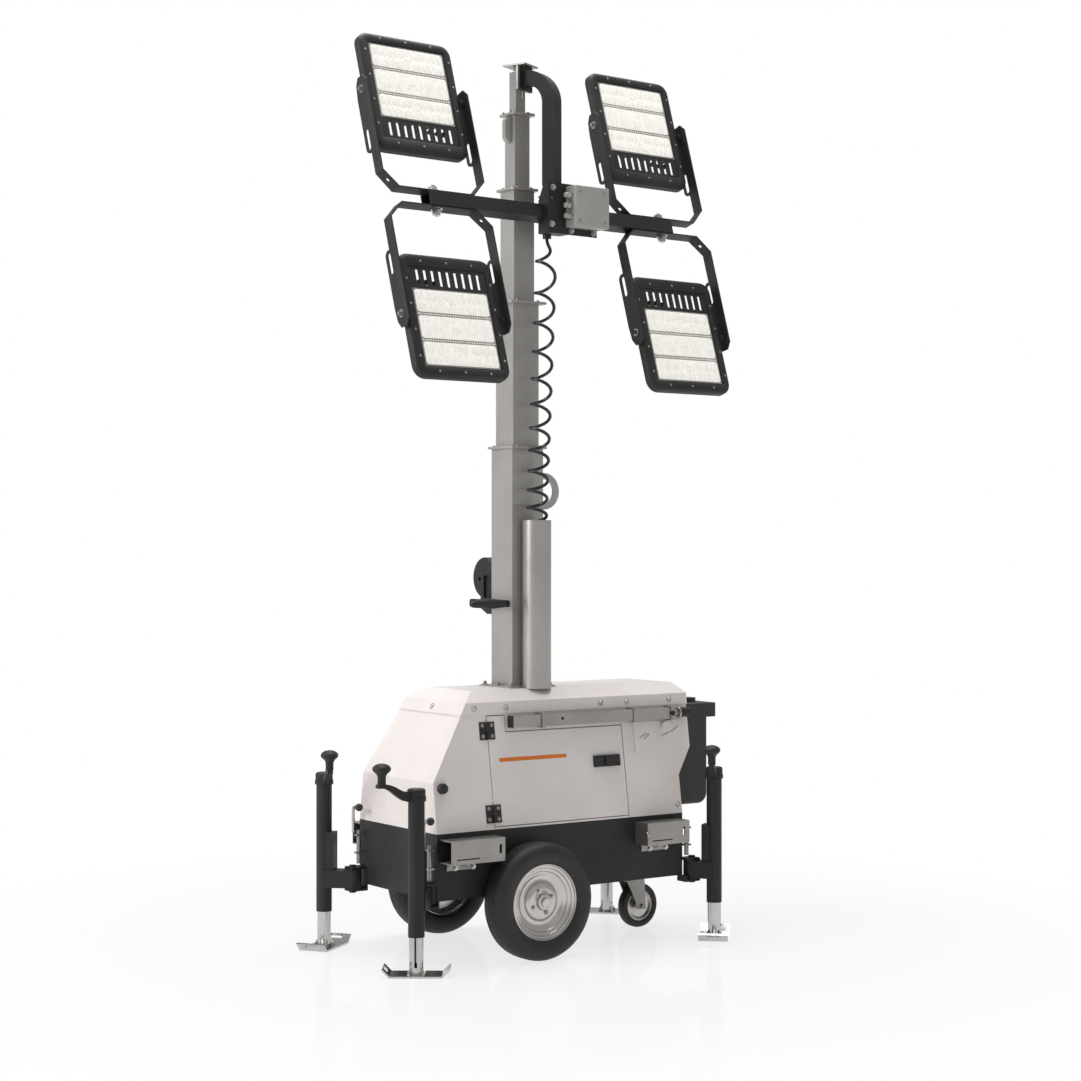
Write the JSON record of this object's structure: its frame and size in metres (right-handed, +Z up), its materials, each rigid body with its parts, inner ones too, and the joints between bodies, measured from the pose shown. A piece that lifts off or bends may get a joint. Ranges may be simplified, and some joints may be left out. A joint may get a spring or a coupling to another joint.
{
  "type": "mobile light tower",
  "caption": "Compact towable light tower: canopied generator on wheels and screw jacks, telescopic square mast, crossbar with tilting floodlights.",
  "frame": {"origin": "on the ground under the middle of the whole object's box", "axes": "+X towards the fuel tank's end, +Y towards the winch side, +Z up along the mast"},
  "size_m": [1.553, 0.8912, 3.1137],
  "materials": {
    "black_steel": "satin black paint",
    "white_panel": "off-white powder coat",
    "zinc": "bright zinc plate",
    "mast_grey": "matt galvanised grey",
    "black_plastic": "moulded black plastic",
    "engine_iron": "cast housing",
    "tyre_rubber": "tyre rubber",
    "wheel_silver": "silver wheel paint",
    "castor_rubber": "solid rubber",
    "lamp_black": "dark grey powder coat",
    "led_glass": "clear lens over warm white diodes",
    "box_grey": "cast aluminium",
    "cable_black": "curly cable sheath",
    "chrome_leg": "bright plated"
  },
  "bodies": {
    "chassis": {"chassis_frame": "black_steel", "axle_beam": "black_steel", "front_hood": "white_panel", "rear_panels": "white_panel", "roof_cover": "white_panel", "frame_hinges": "black_steel", "zinc_fittings": "zinc", "fuel_tank": "black_plastic", "engine_block": "engine_iron", "mast_base": "mast_grey", "cable_store": "mast_grey", "winch": "black_steel", "castor_plate": "zinc", "curly_cable": "cable_black"},
    "wheel_near": {"tyre_near": "tyre_rubber", "rim_near": "wheel_silver"},
    "wheel_far": {"tyre_far": "tyre_rubber", "rim_far": "wheel_silver"},
    "castor_fork": {"castor_fork": "zinc"},
    "castor_wheel": {"castor_tyre": "castor_rubber", "castor_rim": "wheel_silver"},
    "mast_2": {"mast_section_2": "mast_grey"},
    "mast_3": {"mast_section_3": "mast_grey"},
    "mast_4": {"mast_section_4": "mast_grey"},
    "head": {"mast_section_5": "mast_grey", "top_fitting": "zinc", "gooseneck": "black_steel", "head_bracket": "black_steel", "crossbar": "black_steel", "junction_box": "box_grey"},
    "yoke_upper_left": {"yoke_upper_left": "lamp_black"},
    "lamp_upper_left": {"lamp_upper_left": "lamp_black", "lens_upper_left": "led_glass"},
    "yoke_lower_left": {"yoke_lower_left": "lamp_black"},
    "lamp_lower_left": {"lamp_lower_left": "lamp_black", "lens_lower_left": "led_glass"},
    "yoke_upper_right": {"yoke_upper_right": "lamp_black"},
    "lamp_upper_right": {"lamp_upper_right": "lamp_black", "lens_upper_right": "led_glass"},
    "yoke_lower_right": {"yoke_lower_right": "lamp_black"},
    "lamp_lower_right": {"lamp_lower_right": "lamp_black", "lens_lower_right": "led_glass"},
    "jack_arm_left_near": {"jack_arm_left_near": "black_steel"},
    "jack_leg_left_near": {"jack_leg_left_near": "chrome_leg"},
    "jack_arm_left_far": {"jack_arm_left_far": "black_steel"},
    "jack_leg_left_far": {"jack_leg_left_far": "chrome_leg"},
    "jack_arm_right_near": {"jack_arm_right_near": "black_steel"},
    "jack_leg_right_near": {"jack_leg_right_near": "chrome_leg"},
    "jack_arm_right_far": {"jack_arm_right_far": "black_steel"},
    "jack_leg_right_far": {"jack_leg_right_far": "chrome_leg"},
    "door_near": {"door_near": "white_panel", "door_fittings_near": "black_plastic"},
    "pull_bar_near": {"pull_bar_near": "zinc"},
    "door_far": {"door_far": "white_panel", "door_fittings_far": "black_plastic"},
    "pull_bar_far": {"pull_bar_far": "zinc"}
  },
  "joints": [
    {"name": "wheel_spin_near", "type": "hinge", "parent": "chassis", "child": "wheel_near", "pos_m": [-0.14101, -0.313, 0.198], "axis": [0, 1, 0], "continuous": true},
    {"name": "wheel_spin_far", "type": "hinge", "parent": "chassis", "child": "wheel_far", "pos_m": [-0.14101, 0.313, 0.198], "axis": [0, 1, 0], "continuous": true},
    {"name": "castor_swivel", "type": "hinge", "parent": "chassis", "child": "castor_fork", "pos_m": [0.48599, 0, 0.172], "axis": [0, 0, 1], "continuous": true},
    {"name": "castor_spin", "type": "hinge", "parent": "castor_fork", "child": "castor_wheel", "pos_m": [0.51599, 0, 0.08], "axis": [0, 1, 0], "continuous": true},
    {"name": "mast_slide_2", "type": "slide", "parent": "chassis", "child": "mast_2", "axis": [0, 0, 1], "range_m": [-0.492, 0.68], "deforming": ["curly_cable"]},
    {"name": "mast_slide_3", "type": "slide", "parent": "mast_2", "child": "mast_3", "axis": [0, 0, 1], "range_m": [-0.383, 0.789]},
    {"name": "mast_slide_4", "type": "slide", "parent": "mast_3", "child": "mast_4", "axis": [0, 0, 1], "range_m": [-0.06, 0.92]},
    {"name": "mast_slide_5", "type": "slide", "parent": "mast_4", "child": "head", "axis": [0, 0, 1], "range_m": [-0.03, 1.1]},
    {"name": "yoke_pan_upper_left", "type": "hinge", "parent": "head", "child": "yoke_upper_left", "pos_m": [-0.45443, -0.15849, 2.5394], "axis": [-0.0193, 0.2892, 0.9571], "range_deg": [-45, 45]},
    {"name": "lamp_tilt_upper_left", "type": "hinge", "parent": "yoke_upper_left", "child": "lamp_upper_left", "pos_m": [-0.46266, -0.0351, 2.90631], "axis": [0.9978, 0.0666, 0], "range_deg": [-40, 40]},
    {"name": "yoke_pan_lower_left", "type": "hinge", "parent": "head", "child": "yoke_lower_left", "pos_m": [-0.45443, -0.15849, 2.5394], "axis": [-0.0193, 0.2892, 0.9571], "range_deg": [-45, 45]},
    {"name": "lamp_tilt_lower_left", "type": "hinge", "parent": "yoke_lower_left", "child": "lamp_lower_left", "pos_m": [-0.44723, -0.26619, 2.14161], "axis": [0.9978, 0.0666, 0], "range_deg": [-40, 40]},
    {"name": "yoke_pan_upper_right", "type": "hinge", "parent": "head", "child": "yoke_upper_right", "pos_m": [0.54934, -0.09147, 2.5394], "axis": [-0.0193, 0.2892, 0.9571], "range_deg": [-45, 45]},
    {"name": "lamp_tilt_upper_right", "type": "hinge", "parent": "yoke_upper_right", "child": "lamp_upper_right", "pos_m": [0.5411, 0.03192, 2.90631], "axis": [0.9978, 0.0666, 0], "range_deg": [-40, 40]},
    {"name": "yoke_pan_lower_right", "type": "hinge", "parent": "head", "child": "yoke_lower_right", "pos_m": [0.54934, -0.09147, 2.5394], "axis": [-0.0193, 0.2892, 0.9571], "range_deg": [-45, 45]},
    {"name": "lamp_tilt_lower_right", "type": "hinge", "parent": "yoke_lower_right", "child": "lamp_lower_right", "pos_m": [0.55653, -0.19917, 2.14161], "axis": [0.9978, 0.0666, 0], "range_deg": [-40, 40]},
    {"name": "jack_swing_left_near", "type": "hinge", "parent": "chassis", "child": "jack_arm_left_near", "pos_m": [-0.54401, -0.232, 0.239], "axis": [0, 0, 1], "range_deg": [-40, 40]},
    {"name": "jack_slide_left_near", "type": "slide", "parent": "jack_arm_left_near", "child": "jack_leg_left_near", "axis": [0, 0, 1], "range_m": [-0.2, 0.09]},
    {"name": "jack_swing_left_far", "type": "hinge", "parent": "chassis", "child": "jack_arm_left_far", "pos_m": [-0.54401, 0.232, 0.239], "axis": [0, 0, -1], "range_deg": [-40, 40]},
    {"name": "jack_slide_left_far", "type": "slide", "parent": "jack_arm_left_far", "child": "jack_leg_left_far", "axis": [0, 0, 1], "range_m": [-0.2, 0.09]},
    {"name": "jack_swing_right_near", "type": "hinge", "parent": "chassis", "child": "jack_arm_right_near", "pos_m": [0.56399, -0.255, 0.239], "axis": [0, 0, -1], "range_deg": [-40, 35]},
    {"name": "jack_slide_right_near", "type": "slide", "parent": "jack_arm_right_near", "child": "jack_leg_right_near", "axis": [0, 0, 1], "range_m": [-0.2, 0.09]},
    {"name": "jack_swing_right_far", "type": "hinge", "parent": "chassis", "child": "jack_arm_right_far", "pos_m": [0.56399, 0.255, 0.239], "axis": [0, 0, 1], "range_deg": [-40, 35]},
    {"name": "jack_slide_right_far", "type": "slide", "parent": "jack_arm_right_far", "child": "jack_leg_right_far", "axis": [0, 0, 1], "range_m": [-0.2, 0.09]},
    {"name": "door_swing_near", "type": "hinge", "parent": "chassis", "child": "door_near", "pos_m": [-0.27601, -0.22985, 0.63038], "axis": [0, -0.1474, -0.9891], "range_deg": [0, 110]},
    {"name": "bar_slide_near", "type": "slide", "parent": "chassis", "child": "pull_bar_near", "axis": [1, 0, 0], "range_m": [0, 0.42]},
    {"name": "door_swing_far", "type": "hinge", "parent": "chassis", "child": "door_far", "pos_m": [-0.27601, 0.22985, 0.63038], "axis": [0, -0.1474, 0.9891], "range_deg": [0, 110]},
    {"name": "bar_slide_far", "type": "slide", "parent": "chassis", "child": "pull_bar_far", "axis": [1, 0, 0], "range_m": [0, 0.42]}
  ]
}
